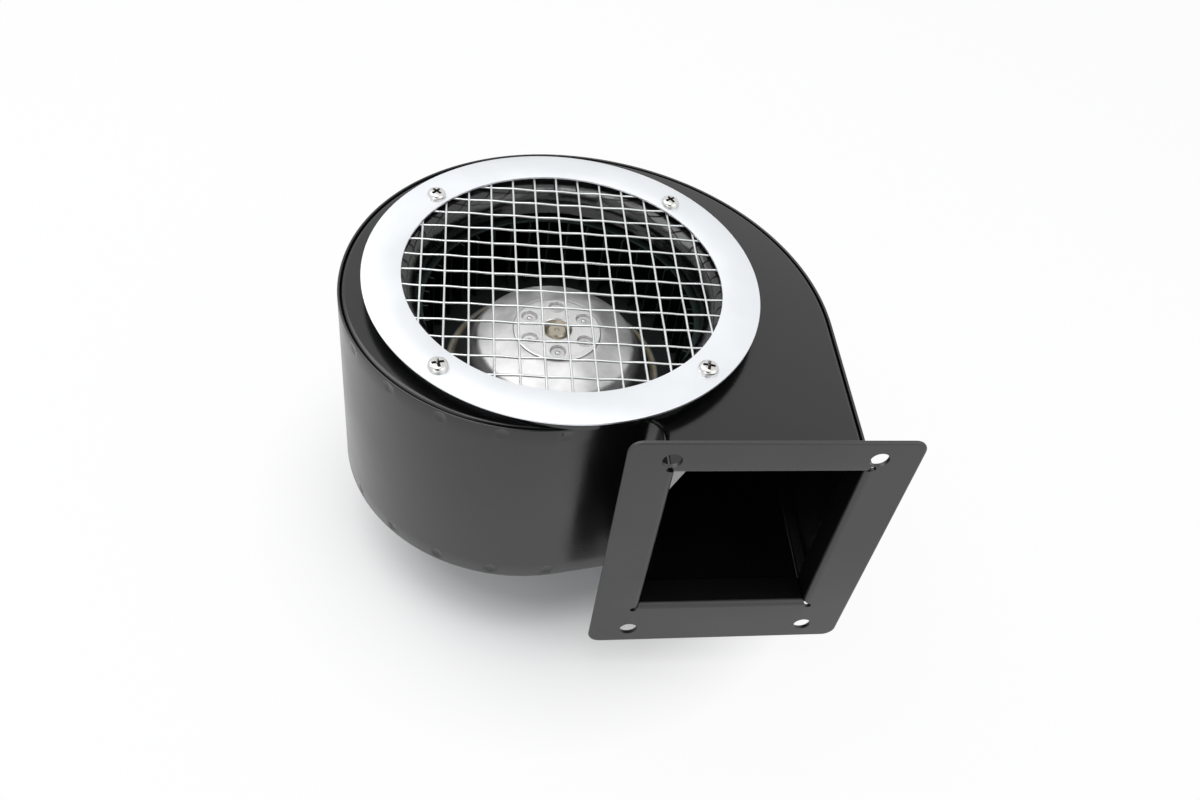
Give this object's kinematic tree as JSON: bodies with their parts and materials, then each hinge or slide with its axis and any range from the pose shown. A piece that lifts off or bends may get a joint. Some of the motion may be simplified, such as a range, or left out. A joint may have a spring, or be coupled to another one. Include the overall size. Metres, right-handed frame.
{
  "type": "dc blower fan",
  "caption": "Direct-current centrifugal blower: spiral sheet-metal scroll, guarded round inlet, flanged rectangular outlet, curved-blade wheel and brushed motor behind it.",
  "frame": {"origin": "on the wheel's axis, in the plane of the motor's flat rear end, on which the blower stands", "axes": "+Z along the wheel's axis from the motor towards the guarded inlet; -Y towards the outlet flange's face; +X to the side on which the outlet lies"},
  "size_m": [0.2002, 0.1754, 0.1433],
  "materials": {
    "black_paint": "black satin paint on sheet steel",
    "black_plate": "black satin paint on sheet steel",
    "black_flange": "black satin paint on sheet steel",
    "black_gloss": "glossy black paint on spun sheet steel",
    "zinc_plate": "bright zinc plate",
    "galvanised_wire": "galvanised wire",
    "nickel_screw": "bright nickel plate",
    "blade_steel": "dark galvanised sheet",
    "spun_aluminium": "spun sheet with turning marks",
    "hub_steel": "bright plated sheet",
    "bush_steel": "turned steel",
    "rivet_aluminium": "set rivet heads",
    "shaft_steel": "ground and lightly tinted steel",
    "core_steel": "laminated steel",
    "copper_wire": "enamelled copper wire",
    "commutator_copper": "turned copper bars",
    "can_steel": "black painted drawn steel",
    "cap_aluminium": "die-cast aluminium",
    "ferrite": "sintered ferrite",
    "bearing_bronze": "oil-filled sintered bronze",
    "phenolic": "brown phenolic board",
    "holder_brass": "folded brass",
    "carbon": "pressed carbon",
    "spring_steel": "spring strip",
    "zinc_screw": "zinc plate",
    "black_plastic": "moulded black plastic",
    "terminal_brass": "tinned brass",
    "mount_steel": "zinc plated steel"
  },
  "bodies": {
    "housing": {"scroll_wrapper": "black_paint", "inlet_side_plate": "black_plate", "motor_side_plate": "black_plate", "outlet_flange": "black_flange", "inlet_collar": "black_gloss", "guard_ring": "zinc_plate", "guard_mesh": "galvanised_wire", "guard_screws": "nickel_screw", "motor_can": "can_steel", "motor_front_cap": "cap_aluminium", "motor_rear_cap": "cap_aluminium", "motor_magnets": "ferrite", "front_bearing": "bearing_bronze", "rear_bearing": "bearing_bronze", "brush_plate": "phenolic", "brush_holders": "holder_brass", "brushes": "carbon", "brush_springs": "spring_steel", "tie_bolts": "zinc_screw", "terminal_block": "black_plastic", "spade_terminals": "terminal_brass", "mount_plate": "mount_steel", "mount_screws": "zinc_screw", "mount_nuts": "zinc_screw"},
    "rotor": {"wheel_blades": "blade_steel", "wheel_disc": "spun_aluminium", "wheel_front_ring": "blade_steel", "wheel_rear_ring": "blade_steel", "hub_plate": "hub_steel", "hub_bush": "bush_steel", "hub_rivets": "rivet_aluminium", "motor_shaft": "shaft_steel", "armature_core": "core_steel", "armature_windings": "copper_wire", "commutator": "commutator_copper"}
  },
  "joints": [
    {"name": "wheel_spin", "type": "hinge", "parent": "housing", "child": "rotor", "pos_m": [0, 0, 0.05], "axis": [0, 0, 1], "continuous": true}
  ]
}
